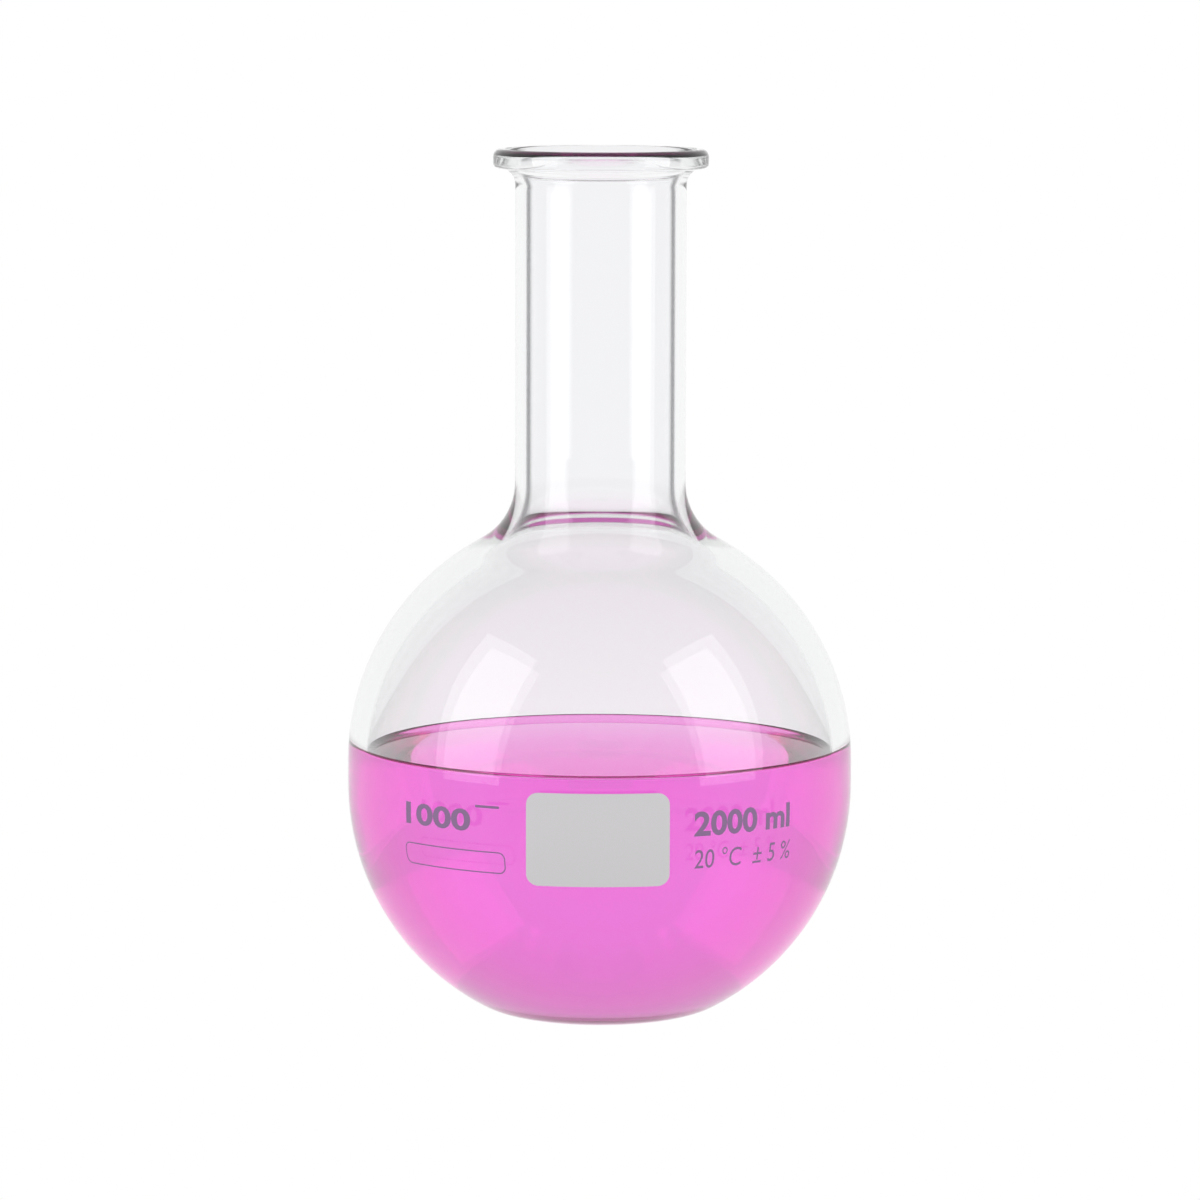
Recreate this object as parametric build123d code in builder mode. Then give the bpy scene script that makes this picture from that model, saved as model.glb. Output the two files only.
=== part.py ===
from build123d import *
from math import atan2, cos, degrees, radians, sin, sqrt
import os

# Two-litre boiling flask with a flat foot, a long neck and a beaded rim.
# Millimetres. The origin is the centre of the foot, +Z runs up the axis,
# and the printed side faces -Y.

# Body: two half balls with a short straight band between them
body_diameter = 166.0
band_height = 7.6
belly_wall = 6.2
shoulder_thickening = 2.0    # the cavity's upper half sits this much lower than the outside's

# Foot: a flat ring round a shallow push-up
foot_diameter = 58.0
heel_radius = 24.0           # outside, from the ball on to the foot
foot_ring_width = 4.0
punt_depth = 1.6
floor_thickness = 7.0
floor_corner_radius = 16.0   # inside

# Neck
overall_height = 284.0
neck_diameter = 56.0
neck_wall = 3.25
shoulder_fillet = 21.5       # outside, from the body up into the neck
cavity_fillet = 34.0         # inside, from the cavity up into the bore

# Rim: the mouth flares and is rolled into a bead
bead_projection = 7.15       # beyond the neck
bead_crest_radius = 2.6
bead_corner_radius = 1.5
bead_corner_drop = 4.7       # from the crest down to the centre of the lower corner
lip_fillet = 5.6             # outside, from the neck under the bead
lip_flare = 18.0             # inside, from the bore out to the crest

# Contents
liquid_level = 87.7
meniscus_radius = 2.6
meniscus_climb = 1.6         # how far the liquid creeps up the glass

# Writing patch: white enamel fired on to the front
patch_width = 45.4
patch_height = 30.2
patch_centre_x = -0.5
patch_centre_z = 69.4
patch_corner_radius = 3.9
patch_thickness = 0.2
skin_angle = 45.0            # the skin it is cut from reaches this far above and below the band


def side(hypotenuse, other):
    """The remaining side of a right triangle."""
    return sqrt(hypotenuse**2 - other**2)


body_radius = body_diameter / 2
foot_radius = foot_diameter / 2
neck_radius = neck_diameter / 2
bore_radius = neck_radius - neck_wall
cavity_radius = body_radius - belly_wall

# Outside of the body: every arc runs smoothly into the next
lower_ball_z = heel_radius + side(body_radius - heel_radius, foot_radius)
upper_ball_z = lower_ball_z + band_height
heel_angle = degrees(atan2(heel_radius - lower_ball_z, foot_radius))
shoulder_x = neck_radius + shoulder_fillet
shoulder_z = upper_ball_z + side(body_radius + shoulder_fillet, shoulder_x)
shoulder_angle = degrees(atan2(shoulder_z - upper_ball_z, shoulder_x))

# Rim
bead_radius = neck_radius + bead_projection
corner_x = bead_radius - bead_corner_radius
corner_z = overall_height - bead_corner_drop
lip_x = neck_radius + lip_fillet
lip_z = corner_z - side(lip_fillet + bead_corner_radius, corner_x - lip_x)
lip_angle = degrees(atan2(corner_z - lip_z, corner_x - lip_x))
crest_x = bead_radius - bead_crest_radius
crest_z = overall_height - bead_crest_radius
flare_x = bore_radius + lip_flare
flare_z = crest_z - side(lip_flare - bead_crest_radius, flare_x - crest_x)
crest_angle = degrees(atan2(crest_z - flare_z, crest_x - flare_x))

# Inside: a round cavity with a flat floor below and a fillet into the bore above
cavity_top_z = upper_ball_z - shoulder_thickening
inner_shoulder_x = bore_radius + cavity_fillet
inner_shoulder_z = cavity_top_z + side(cavity_radius + cavity_fillet, inner_shoulder_x)
inner_shoulder_angle = degrees(atan2(inner_shoulder_z - cavity_top_z, inner_shoulder_x))
floor_corner_z = floor_thickness + floor_corner_radius
floor_radius = side(cavity_radius - floor_corner_radius, lower_ball_z - floor_corner_z)
floor_corner_angle = degrees(atan2(floor_corner_z - lower_ball_z, floor_radius))

# Punt: a shallow arc from the inside of the foot ring up to the axis
punt_radius = foot_radius - foot_ring_width
punt_arc_radius = (punt_radius**2 + punt_depth**2) / (2 * punt_depth)

# Meniscus: an arc from the level surface up to the glass
climb_z = liquid_level + meniscus_climb
climb_x = side(cavity_radius, max(climb_z - cavity_top_z, lower_ball_z - climb_z, 0))
meniscus_x = climb_x - side(meniscus_radius, meniscus_radius - meniscus_climb)
meniscus_angle = degrees(atan2(climb_z - liquid_level - meniscus_radius, climb_x - meniscus_x))

os.makedirs("parts", exist_ok=True)

# Flask: one piece of blown glass, a single section turned about its axis
with BuildPart() as flask:
    with BuildSketch(Plane.XZ):
        with BuildLine():
            # Foot and outside of the body
            punt = RadiusArc((0, punt_depth), (punt_radius, 0), punt_arc_radius)
            Line(punt @ 1, (foot_radius, 0))
            CenterArc((foot_radius, heel_radius), heel_radius, -90, 90 + heel_angle)
            CenterArc((0, lower_ball_z), body_radius, heel_angle, -heel_angle)
            Line((body_radius, lower_ball_z), (body_radius, upper_ball_z))
            CenterArc((0, upper_ball_z), body_radius, 0, shoulder_angle)
            CenterArc((shoulder_x, shoulder_z), shoulder_fillet,
                      180 + shoulder_angle, -shoulder_angle)
            # Outside of the neck, under the bead and round it
            Line((neck_radius, shoulder_z), (neck_radius, lip_z))
            CenterArc((lip_x, lip_z), lip_fillet, 180, lip_angle - 180)
            CenterArc((corner_x, corner_z), bead_corner_radius, lip_angle - 180, 180 - lip_angle)
            Line((bead_radius, corner_z), (bead_radius, crest_z))
            CenterArc((crest_x, crest_z), bead_crest_radius, 0, crest_angle)
            # Down the flared mouth and the bore, and round the cavity to its floor
            CenterArc((flare_x, flare_z), lip_flare, crest_angle, 180 - crest_angle)
            Line((bore_radius, flare_z), (bore_radius, inner_shoulder_z))
            CenterArc((inner_shoulder_x, inner_shoulder_z), cavity_fillet,
                      180, inner_shoulder_angle)
            CenterArc((0, cavity_top_z), cavity_radius, 0, inner_shoulder_angle)
            Line((cavity_radius, cavity_top_z), (cavity_radius, lower_ball_z))
            CenterArc((0, lower_ball_z), cavity_radius, floor_corner_angle, -floor_corner_angle)
            CenterArc((floor_radius, floor_corner_z), floor_corner_radius,
                      -90, 90 + floor_corner_angle)
            Line((floor_radius, floor_thickness), (0, floor_thickness))
            Line((0, floor_thickness), punt @ 0)
        make_face()
    revolve(axis=Axis.Z)

# Liquid: the cavity's own shape, cut off at the level with a rim that creeps up the glass
with BuildPart() as liquid:
    with BuildSketch(Plane.XZ):
        with BuildLine():
            Line((0, floor_thickness), (floor_radius, floor_thickness))
            CenterArc((floor_radius, floor_corner_z), floor_corner_radius,
                      -90, 90 + floor_corner_angle)
            CenterArc((0, lower_ball_z), cavity_radius, floor_corner_angle, -floor_corner_angle)
            Line((cavity_radius, lower_ball_z), (cavity_radius, cavity_top_z))
            ball_top = CenterArc((0, cavity_top_z), cavity_radius, 0, 90)
            Line(ball_top @ 1, (0, floor_thickness))
        make_face()
    revolve(axis=Axis.Z)
    with BuildSketch(Plane.XZ):
        with BuildLine():
            meniscus = CenterArc((meniscus_x, liquid_level + meniscus_radius), meniscus_radius,
                                 -90, 90 + meniscus_angle)
            Polyline((meniscus_x, liquid_level), (0, liquid_level), (0, overall_height),
                     (body_diameter, overall_height), (body_diameter, climb_z), meniscus @ 1)
        make_face()
    revolve(axis=Axis.Z, mode=Mode.SUBTRACT)

# Writing patch: a rounded rectangle cut out of a thin skin that lies on the body
with BuildPart() as marking_patch:
    with BuildSketch(Plane.XZ):
        with BuildLine():
            for radius in (body_radius, body_radius + patch_thickness):
                CenterArc((0, lower_ball_z), radius, -skin_angle, skin_angle)
                Line((radius, lower_ball_z), (radius, upper_ball_z))
                CenterArc((0, upper_ball_z), radius, 0, skin_angle)
            for centre_z, angle in ((lower_ball_z, -skin_angle), (upper_ball_z, skin_angle)):
                outward = Vector(cos(radians(angle)), sin(radians(angle)))
                on_body = Vector(0, centre_z) + outward * body_radius
                Line(on_body, on_body + outward * patch_thickness)
        make_face()
    revolve(axis=Axis.Z)
    with BuildSketch(Plane.XZ):
        with Locations((patch_centre_x, patch_centre_z)):
            RectangleRounded(patch_width, patch_height, patch_corner_radius)
    extrude(amount=body_diameter, mode=Mode.INTERSECT)

flask.part.label = "flask"
liquid.part.label = "liquid"
marking_patch.part.label = "marking_patch"

export_step(flask.part, "parts/flask.step")
export_step(liquid.part, "parts/liquid.step")
export_step(marking_patch.part, "parts/marking_patch.step")
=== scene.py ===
from math import atan2, cos, degrees, pi, radians, sin, sqrt

import bmesh
import bpy
from mathutils import Matrix, Vector


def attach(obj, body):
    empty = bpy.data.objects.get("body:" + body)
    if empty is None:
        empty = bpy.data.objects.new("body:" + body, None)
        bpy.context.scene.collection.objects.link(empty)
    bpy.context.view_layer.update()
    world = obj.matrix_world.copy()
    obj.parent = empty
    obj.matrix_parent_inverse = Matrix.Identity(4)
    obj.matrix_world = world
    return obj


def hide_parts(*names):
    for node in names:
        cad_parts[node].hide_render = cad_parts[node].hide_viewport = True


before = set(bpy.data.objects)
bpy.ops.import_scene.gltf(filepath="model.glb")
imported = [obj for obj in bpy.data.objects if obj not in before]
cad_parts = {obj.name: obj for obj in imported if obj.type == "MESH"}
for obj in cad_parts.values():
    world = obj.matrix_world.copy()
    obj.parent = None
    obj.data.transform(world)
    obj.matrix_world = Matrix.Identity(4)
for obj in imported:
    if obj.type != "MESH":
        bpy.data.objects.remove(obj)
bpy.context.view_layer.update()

scene = bpy.context.scene
MM = 0.001                   # the sizes are in millimetres, the scene in metres
AROUND = 288                 # flats round the axis, fine enough to look smooth through glass


def side(hypotenuse, other):
    """The remaining side of a right triangle."""
    return sqrt(hypotenuse**2 - other**2)


def angle(dx, dz):
    return degrees(atan2(dz, dx))


# Sizes, in millimetres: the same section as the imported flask's
body_r, belly_wall, band = 83.0, 6.2, 7.6
shoulder_thickening = 2.0    # the cavity's upper half sits this much lower than the outside's
foot_r, heel_r, foot_ring, punt_depth = 29.0, 24.0, 4.0, 1.6
floor_t, floor_corner_r = 7.0, 16.0
height, neck_r, neck_wall = 284.0, 28.0, 3.25
shoulder_r, inner_shoulder_r = 21.5, 34.0
bead, crest_r, corner_r, corner_drop = 7.15, 2.6, 1.5, 4.7
lip_r, flare_r = 5.6, 18.0
level, meniscus_r, climb = 87.7, 2.6, 1.6
print_lift = 0.05            # how far the ink stands off the glass
wet = 0.12                   # how far the liquid's skin lies inside the glass wall

bore_r = neck_r - neck_wall
cavity_r = body_r - belly_wall
low_z = heel_r + side(body_r - heel_r, foot_r)
high_z = low_z + band
cavity_top = high_z - shoulder_thickening
heel_end = angle(foot_r, heel_r - low_z)

# Foot and floor
punt_r = foot_r - foot_ring
punt_arc = (punt_r**2 + punt_depth**2) / (2 * punt_depth)
punt_half = angle(punt_arc - punt_depth, punt_r)
floor_corner_z = floor_t + floor_corner_r
floor_r = side(cavity_r - floor_corner_r, low_z - floor_corner_z)
floor_end = angle(floor_r, floor_corner_z - low_z)

# Shoulder, outside and inside
shoulder_x = neck_r + shoulder_r
shoulder_z = high_z + side(body_r + shoulder_r, shoulder_x)
shoulder_end = angle(shoulder_x, shoulder_z - high_z)
inner_shoulder_x = bore_r + inner_shoulder_r
inner_shoulder_z = cavity_top + side(cavity_r + inner_shoulder_r, inner_shoulder_x)
inner_end = angle(inner_shoulder_x, inner_shoulder_z - cavity_top)
marked_end = 0.7 * inner_end     # how far down the shoulder the bore's mark reaches

# Rim
bead_r = neck_r + bead
corner_x, corner_z = bead_r - corner_r, height - corner_drop
lip_x = neck_r + lip_r
lip_z = corner_z - side(lip_r + corner_r, corner_x - lip_x)
lip_end = angle(corner_x - lip_x, corner_z - lip_z)
crest_x, crest_z = bead_r - crest_r, height - crest_r
flare_x = bore_r + flare_r
flare_z = crest_z - side(flare_r - crest_r, flare_x - crest_x)
crest_end = angle(crest_x - flare_x, crest_z - flare_z)

# Meniscus
climb_z = level + climb
climb_x = side(cavity_r, max(climb_z - cavity_top, low_z - climb_z, 0))
meniscus_x = climb_x - side(meniscus_r, meniscus_r - climb)
meniscus_end = angle(climb_x - meniscus_x, climb - meniscus_r)
top_end = angle(climb_x, climb_z - cavity_top)


# Lines of a section
def arc(cx, cz, r, start, end, step=2.0):
    """Points along an arc, both ends included."""
    n = max(2, int(abs(end - start) / step) + 1)
    turns = [radians(start + (end - start) * i / n) for i in range(n + 1)]
    return [(cx + r * cos(t), cz + r * sin(t)) for t in turns]


def run(a, b, step=6.0):
    """Points along a straight stretch, both ends included."""
    n = max(1, int(sqrt((b[0] - a[0])**2 + (b[1] - a[1])**2) / step))
    return [(a[0] + (b[0] - a[0]) * i / n, a[1] + (b[1] - a[1]) * i / n) for i in range(n + 1)]


def joined(*stretches):
    """One line of points out of stretches that meet end to end."""
    line = []
    for stretch in stretches:
        for p in stretch:
            if not line or (p[0] - line[-1][0])**2 + (p[1] - line[-1][1])**2 > 1e-8:
                line.append(p)
    return line


# Objects
def put(name, data):
    obj = bpy.data.objects.new(name, data)
    scene.collection.objects.link(obj)
    return obj


def put_mesh(name, bm):
    mesh = bpy.data.meshes.new(name)
    bm.to_mesh(mesh)
    bm.free()
    return put(name, mesh)


def lathe(name, *stretches):
    """A closed solid: a section turned about the axis, from one axis point to the other.

    Each stretch is (points, mark). The mark stays on the mesh for the material to read.
    """
    bm = bmesh.new()
    layer = bm.verts.layers.float.new("mark")
    rings = []
    for line, mark in stretches:
        for x, z in line:
            turns = [2 * pi * i / AROUND for i in range(1 if x < 1e-6 else AROUND)]
            ring = [bm.verts.new((x * MM * cos(t), x * MM * sin(t), z * MM)) for t in turns]
            for v in ring:
                v[layer] = mark
            rings.append(ring)
    for a, b in zip(rings, rings[1:]):
        for i in range(AROUND):
            j = (i + 1) % AROUND
            if len(a) == 1:
                bm.faces.new((a[0], b[j], b[i]))
            elif len(b) == 1:
                bm.faces.new((a[i], a[j], b[0]))
            else:
                bm.faces.new((a[i], a[j], b[j], b[i]))
    bmesh.ops.recalc_face_normals(bm, faces=bm.faces)
    for f in bm.faces:
        f.smooth = True
    return put_mesh(name, bm)


# Materials
def material(name):
    m = bpy.data.materials.new(name)
    m.use_nodes = True
    return m, m.node_tree, m.node_tree.nodes["Principled BSDF"]


def node(nt, kind, **values):
    """A node with its inputs set. An underscore stands for a space in an input's name."""
    n = nt.nodes.new(kind)
    for key, value in values.items():
        n.inputs[key.replace("_", " ")].default_value = value
    return n


def shades(nt, *stops):
    """A colour ramp through (position, colour) stops."""
    ramp = nt.nodes.new("ShaderNodeValToRGB")
    elements = ramp.color_ramp.elements
    first, *middle, last = stops
    for element, (position, colour) in ((elements[0], first), (elements[1], last)):
        element.position, element.color = position, (*colour, 1)
    for position, colour in middle:
        elements.new(position).color = (*colour, 1)
    return ramp


def glassy(name, ior, marked_ior, tint_and_edge_shade, marked_tint_and_shade, absorb, density, ripple, ripple_scale):
    """Clear and smooth, with the faint ripple of blown glass and colour that deepens with depth.

    The stops of each colour ramp run from face on (0) to along the surface (1); where they darken,
    it is painted shade. Where the mesh is marked, the second ramp and refractive index take over.
    """
    m, nt, shader = material(name)
    link = nt.links.new
    shader.inputs["Transmission Weight"].default_value = 1.0
    shader.inputs["Roughness"].default_value = 0.0
    coords = nt.nodes.new("ShaderNodeTexCoord")
    noise = node(nt, "ShaderNodeTexNoise", Scale=ripple_scale, Detail=2.0)
    bump = node(nt, "ShaderNodeBump", Strength=1.0, Distance=ripple)
    link(coords.outputs["Object"], noise.inputs["Vector"])
    link(noise.outputs["Fac"], bump.inputs["Height"])
    link(bump.outputs["Normal"], shader.inputs["Normal"])

    # Colour by facing: where it darkens towards grazing views, it is painted shade on the edges
    facing = node(nt, "ShaderNodeLayerWeight", Blend=0.5)
    mark = nt.nodes.new("ShaderNodeAttribute")
    mark.attribute_name = "mark"
    mix = nt.nodes.new("ShaderNodeMix")
    mix.data_type = "RGBA"
    colour_a, colour_b, mixed = mix.inputs[6], mix.inputs[7], mix.outputs[2]
    for stops, socket in ((tint_and_edge_shade, colour_a), (marked_tint_and_shade, colour_b)):
        ramp = shades(nt, *stops)
        link(facing.outputs["Facing"], ramp.inputs["Fac"])
        link(ramp.outputs["Color"], socket)
    link(mark.outputs["Fac"], mix.inputs["Factor"])
    link(mixed, shader.inputs["Base Color"])

    shader.inputs["IOR"].default_value = ior
    if marked_ior != ior:
        bend = node(nt, "ShaderNodeMapRange", To_Min=ior, To_Max=marked_ior)
        link(mark.outputs["Fac"], bend.inputs["Value"])
        link(bend.outputs["Result"], shader.inputs["IOR"])
    volume = node(nt, "ShaderNodeVolumeAbsorption", Color=(*absorb, 1), Density=density)
    link(volume.outputs["Volume"], nt.nodes["Material Output"].inputs["Volume"])
    return m


def speckled(name, low, high, roughness, scale, relief):
    """An opaque coat, faintly uneven in shade and level."""
    m, nt, shader = material(name)
    shader.inputs["Roughness"].default_value = roughness
    noise = node(nt, "ShaderNodeTexNoise", Scale=scale, Detail=4.0)
    ramp = shades(nt, (0.3, low), (0.7, high))
    bump = node(nt, "ShaderNodeBump", Strength=0.3, Distance=relief)
    nt.links.new(noise.outputs["Fac"], ramp.inputs["Fac"])
    nt.links.new(noise.outputs["Fac"], bump.inputs["Height"])
    nt.links.new(ramp.outputs["Color"], shader.inputs["Base Color"])
    nt.links.new(bump.outputs["Normal"], shader.inputs["Normal"])
    return m


def glowing(name):
    """The white of a lit studio floor."""
    m, nt, shader = material(name)
    nt.nodes.remove(shader)
    glow = node(nt, "ShaderNodeEmission", Color=(1, 1, 1, 1), Strength=1.0)
    nt.links.new(glow.outputs["Emission"], nt.nodes["Material Output"].inputs["Surface"])
    return m


# The marked bore darkens to near black in a narrow band of grazing views, a painted shade which
# gives the neck its two inner lines
# Elsewhere the glass is faintly grey face on and darkens towards grazing views, a painted shade
# along its outlines
glass_material = glassy(
    "clear_glass", ior=1.47, marked_ior=1.47,
    tint_and_edge_shade=((0.0, (0.955, 0.955, 0.965)), (0.8, (0.94, 0.94, 0.95)), (1.0, (0.7, 0.7, 0.72))),
    marked_tint_and_shade=((0.0, (0.955, 0.955, 0.965)), (0.56, (0.94, 0.94, 0.95)),
                 (0.66, (0.06, 0.06, 0.065)), (0.76, (0.06, 0.06, 0.065)),
                 (0.86, (0.85, 0.85, 0.86))),
    absorb=(0.0, 0.1, 0.0), density=3.0, ripple=0.00002, ripple_scale=25.0)
# Unmarked, the liquid's pink deepens and darkens towards grazing views, a painted edge shade
# The marked surface is pinker and mirrors less than the liquid's skin against the glass
liquid_material = glassy(
    "magenta_liquid", ior=1.333, marked_ior=1.12,
    tint_and_edge_shade=((0.07, (1, 1, 1)), (0.16, (0.93, 0.66, 0.83)), (0.24, (0.82, 0.5, 0.68)),
          (0.33, (0.7, 0.42, 0.58))),
    marked_tint_and_shade=((0.0, (0.95, 0.16, 0.7)), (1.0, (0.95, 0.16, 0.7))),
    absorb=(0.985, 0.0, 0.87), density=13.0, ripple=0.00001, ripple_scale=12.0)
enamel_material = speckled("white_enamel", (0.49, 0.48, 0.49), (0.53, 0.52, 0.53),
                           roughness=0.35, scale=220.0, relief=0.00005)
ink_material = speckled("violet_ink", (0.17, 0.09, 0.2), (0.21, 0.12, 0.24),
                        roughness=0.5, scale=500.0, relief=0.00002)

# Glass
outside = joined(
    arc(0, punt_depth - punt_arc, punt_arc, 90, 90 - punt_half, 1.0),
    run((punt_r, 0), (foot_r, 0), 2),
    arc(foot_r, heel_r, heel_r, -90, heel_end),
    arc(0, low_z, body_r, heel_end, 0, 1.5),
    run((body_r, low_z), (body_r, high_z), 2.0),
    arc(0, high_z, body_r, 0, shoulder_end, 1.5),
    arc(shoulder_x, shoulder_z, shoulder_r, 180 + shoulder_end, 180),
    run((neck_r, shoulder_z), (neck_r, lip_z)),
    arc(lip_x, lip_z, lip_r, 180, lip_end, 5),
    arc(corner_x, corner_z, corner_r, lip_end - 180, 0, 8),
    run((bead_r, corner_z), (bead_r, crest_z), 1.0),
    arc(crest_x, crest_z, crest_r, 0, crest_end, 5))
bore = joined(
    arc(flare_x, flare_z, flare_r, crest_end, 180, 2.5)[1:],
    run((bore_r, flare_z), (bore_r, inner_shoulder_z)),
    arc(inner_shoulder_x, inner_shoulder_z, inner_shoulder_r, 180, 180 + marked_end))
cavity = joined(
    arc(inner_shoulder_x, inner_shoulder_z, inner_shoulder_r,
        180 + marked_end, 180 + inner_end)[1:],
    arc(0, cavity_top, cavity_r, inner_end, 0, 1.5)[1:],
    run((cavity_r, cavity_top), (cavity_r, low_z), 2.0),
    arc(0, low_z, cavity_r, 0, floor_end, 1.5),
    arc(floor_r, floor_corner_z, floor_corner_r, floor_end, -90),
    run((floor_r, floor_t), (0, floor_t), 3))

# The bore's mark tells the glass where to paint its dark band of shade
glass = lathe("glass_flask", (outside, 0), (bore, 1), (cavity, 0))
glass.data.materials.append(glass_material)
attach(glass, "root")
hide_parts("flask")

# Liquid: it wets the glass, so no film of air is between them
wetted = joined(
    run((0, floor_t - wet), (floor_r, floor_t - wet), 3),
    arc(floor_r, floor_corner_z, floor_corner_r + wet, -90, floor_end),
    arc(0, low_z, cavity_r + wet, floor_end, 0, 1.5),
    run((cavity_r + wet, low_z), (cavity_r + wet, cavity_top), 2.0),
    arc(0, cavity_top, cavity_r + wet, 0, top_end, 1.0))
meniscus = arc(meniscus_x, level + meniscus_r, meniscus_r, meniscus_end, -90, 6)
surface = run((meniscus_x, level), (0, level), 3)[1:]

liquid = lathe("magenta_liquid", (wetted, 0), (meniscus, 1), (surface, 1))
liquid.data.materials.append(liquid_material)
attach(liquid, "root")
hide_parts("liquid")

# Writing patch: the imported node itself, in enamel
for material_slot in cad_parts["marking_patch"].material_slots:
    material_slot.material = enamel_material


# Print: capacity and graduation, fired on to the body beside the patch
def outward(z):
    """How far from the axis the body's outside is at this height."""
    return side(body_r, max(z - high_z, low_z - z, 0))


def cut_fine(bm, step=1.5):
    """Cuts a flat drawing in the XZ plane into cells small enough to lie on the curved body."""
    for axis in (Vector((1, 0, 0)), Vector((0, 0, 1))):
        places = [v.co.dot(axis) for v in bm.verts]
        at, end = min(places) + step, max(places)
        while at < end:
            bmesh.ops.bisect_plane(bm, geom=bm.verts[:] + bm.edges[:] + bm.faces[:],
                                   plane_co=at * axis, plane_no=axis)
            at += step


def printed(name, bm, azimuth):
    """Lays a flat drawing on the body. Its X runs round from the azimuth, which counts from -Y."""
    cut_fine(bm)
    for v in bm.verts:
        turn = radians(azimuth) + v.co.x / body_r
        r = outward(v.co.z) + print_lift
        v.co = (r * MM * sin(turn), -r * MM * cos(turn), v.co.z * MM)
    for f in bm.faces:
        f.normal_update()
        f.smooth = True
        if f.normal.dot(f.calc_center_median() * Vector((1, 1, 0))) < 0:
            f.normal_flip()
    obj = put_mesh(name, bm)
    obj.data.materials.append(ink_material)
    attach(obj, "root")


def words(name, text, azimuth, length, z_low, z_high, weight):
    """A line of type, fitted to a length round the body and to a height."""
    font = bpy.data.curves.new(name, "FONT")
    font.body, font.offset, font.resolution_u = text, weight, 4
    line = put(name, font)
    evaluated = line.evaluated_get(bpy.context.evaluated_depsgraph_get())
    mesh = bpy.data.meshes.new_from_object(evaluated)
    bpy.data.objects.remove(line)
    bm = bmesh.new()
    bm.from_mesh(mesh)
    bpy.data.meshes.remove(mesh)
    xs, ys = [v.co.x for v in bm.verts], [v.co.y for v in bm.verts]
    left, bottom = min(xs), min(ys)
    wide, tall = length / (max(xs) - left), (z_high - z_low) / (max(ys) - bottom)
    for v in bm.verts:
        v.co = ((v.co.x - left) * wide, 0, z_low + (v.co.y - bottom) * tall)
    printed(name, bm, azimuth)


def stroke(name, azimuth, length, z_low, z_high):
    """A short level line."""
    bm = bmesh.new()
    corners = ((0, z_low), (length, z_low), (length, z_high), (0, z_high))
    bm.faces.new([bm.verts.new((x, 0, z)) for x, z in corners])
    printed(name, bm, azimuth)


def field(name, azimuth, length, z_low, z_high, r, line):
    """A rounded rectangle drawn in outline."""
    bm = bmesh.new()
    left, right, low, high = r, length - r, z_low + r, z_high - r
    corners = ((right, high, 0), (left, high, 90), (left, low, 180), (right, low, 270))
    rims = []
    for inset in (0, line):
        rim = []
        for cx, cz, start in corners:
            rim += arc(cx, cz, r - inset, start, start + 90, 15)
        rims.append([bm.verts.new((x, 0, z)) for x, z in rim])
    outer, inner = rims
    for i in range(len(outer)):
        j = (i + 1) % len(outer)
        bm.faces.new((outer[i], outer[j], inner[j], inner[i]))
    printed(name, bm, azimuth)


bold, plain = 0.03, 0.0
words("capacity", "2000 ml", azimuth=21.2, length=37.6, z_low=69.9, z_high=78.0, weight=bold)
words("tolerance", "20 °C  ± 5 %",
      azimuth=21.6, length=38.4, z_low=59.4, z_high=65.9, weight=plain)
words("graduation", "1000", azimuth=-48.2, length=27.0, z_low=70.6, z_high=77.8, weight=bold)
stroke("graduation_tick", azimuth=-28.3, length=8.4, z_low=78.6, z_high=79.4)
field("blank_field", azimuth=-49.2, length=40.4, z_low=57.4, z_high=64.6, r=2.4, line=0.4)

# Stage, from here on in metres: a white floor and a soft sky that dims overhead
floor_radius, floor_gap = 30.0, 0.0005
bm = bmesh.new()
bmesh.ops.create_circle(bm, cap_ends=True, radius=floor_radius, segments=96)
floor = put_mesh("floor", bm)
floor.location.z = -floor_gap
floor.data.materials.append(glowing("pale_floor"))

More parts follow.
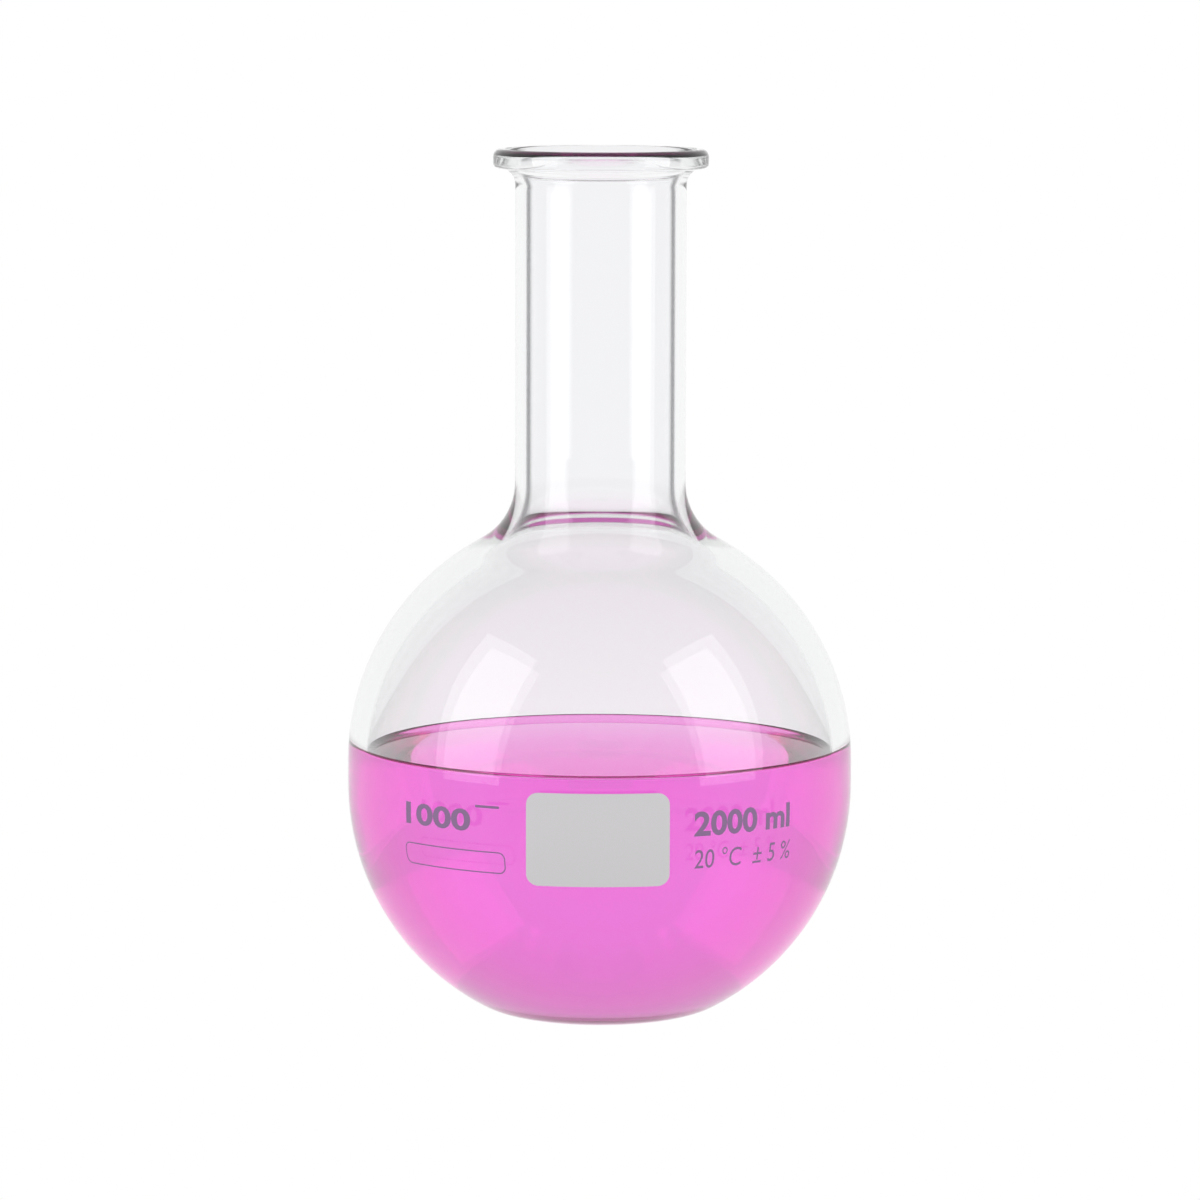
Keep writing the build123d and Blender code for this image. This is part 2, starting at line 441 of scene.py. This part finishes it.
world = bpy.data.worlds.new("studio")
world.use_nodes = True
scene.world = world
nt = world.node_tree
coords = nt.nodes.new("ShaderNodeTexCoord")
split = nt.nodes.new("ShaderNodeSeparateXYZ")
sky = shades(nt, (0.5, (1, 1, 1)), (0.8, (0.8, 0.8, 0.81)), (1.0, (0.6, 0.6, 0.61)))
nt.links.new(coords.outputs["Generated"], split.inputs["Vector"])
nt.links.new(split.outputs["Z"], sky.inputs["Fac"])
nt.links.new(sky.outputs["Color"], nt.nodes["Background"].inputs["Color"])


# Two softboxes, one to each side of the camera
box_azimuth, box_distance, box_height = 62.0, 1.1, 0.6
box_width, box_tall, box_luminance = 0.7, 1.2, 1.6
box_aim = Vector((0, 0, 0.14))


def softbox(name, azimuth):
    """A soft light that faces the flask. Azimuth runs from -Y towards +X."""
    light = bpy.data.lights.new(name, "AREA")
    light.shape = "RECTANGLE"
    light.size, light.size_y = box_width, box_tall
    light.energy = box_luminance * pi * box_width * box_tall
    turn = radians(azimuth)
    obj = put(name, light)
    obj.location = Vector((box_distance * sin(turn), -box_distance * cos(turn), box_height))
    obj.rotation_euler = (box_aim - obj.location).to_track_quat("-Z", "Y").to_euler()


softbox("soft_left", -box_azimuth)
softbox("soft_right", box_azimuth)

# Camera, at the photograph's place
camera_place = (0, -1.7482, 0.3494)
camera_tilt, camera_roll = radians(6.963), radians(0.139)
sensor = 36.0
focal_length_px, photo_width_px = 5352.5, 1200

camera_data = bpy.data.cameras.new("camera")
camera_data.sensor_width = sensor
camera_data.lens = focal_length_px / photo_width_px * sensor
camera_data.clip_end = 100.0
camera = put("camera", camera_data)
level_right, level_up = Vector((1, 0, 0)), Vector((0, sin(camera_tilt), cos(camera_tilt)))
forward = Vector((0, cos(camera_tilt), -sin(camera_tilt)))
right = level_right * cos(camera_roll) + level_up * sin(camera_roll)
up = level_up * cos(camera_roll) - level_right * sin(camera_roll)
turned = Matrix((right, up, -forward)).transposed().to_4x4()
camera.matrix_world = Matrix.Translation(camera_place) @ turned
scene.camera = camera
scene.view_settings.view_transform = "Standard"

# Light runs on through many turns inside the glass
scene.cycles.max_bounces = 48
scene.cycles.glossy_bounces = 32
scene.cycles.transmission_bounces = 48
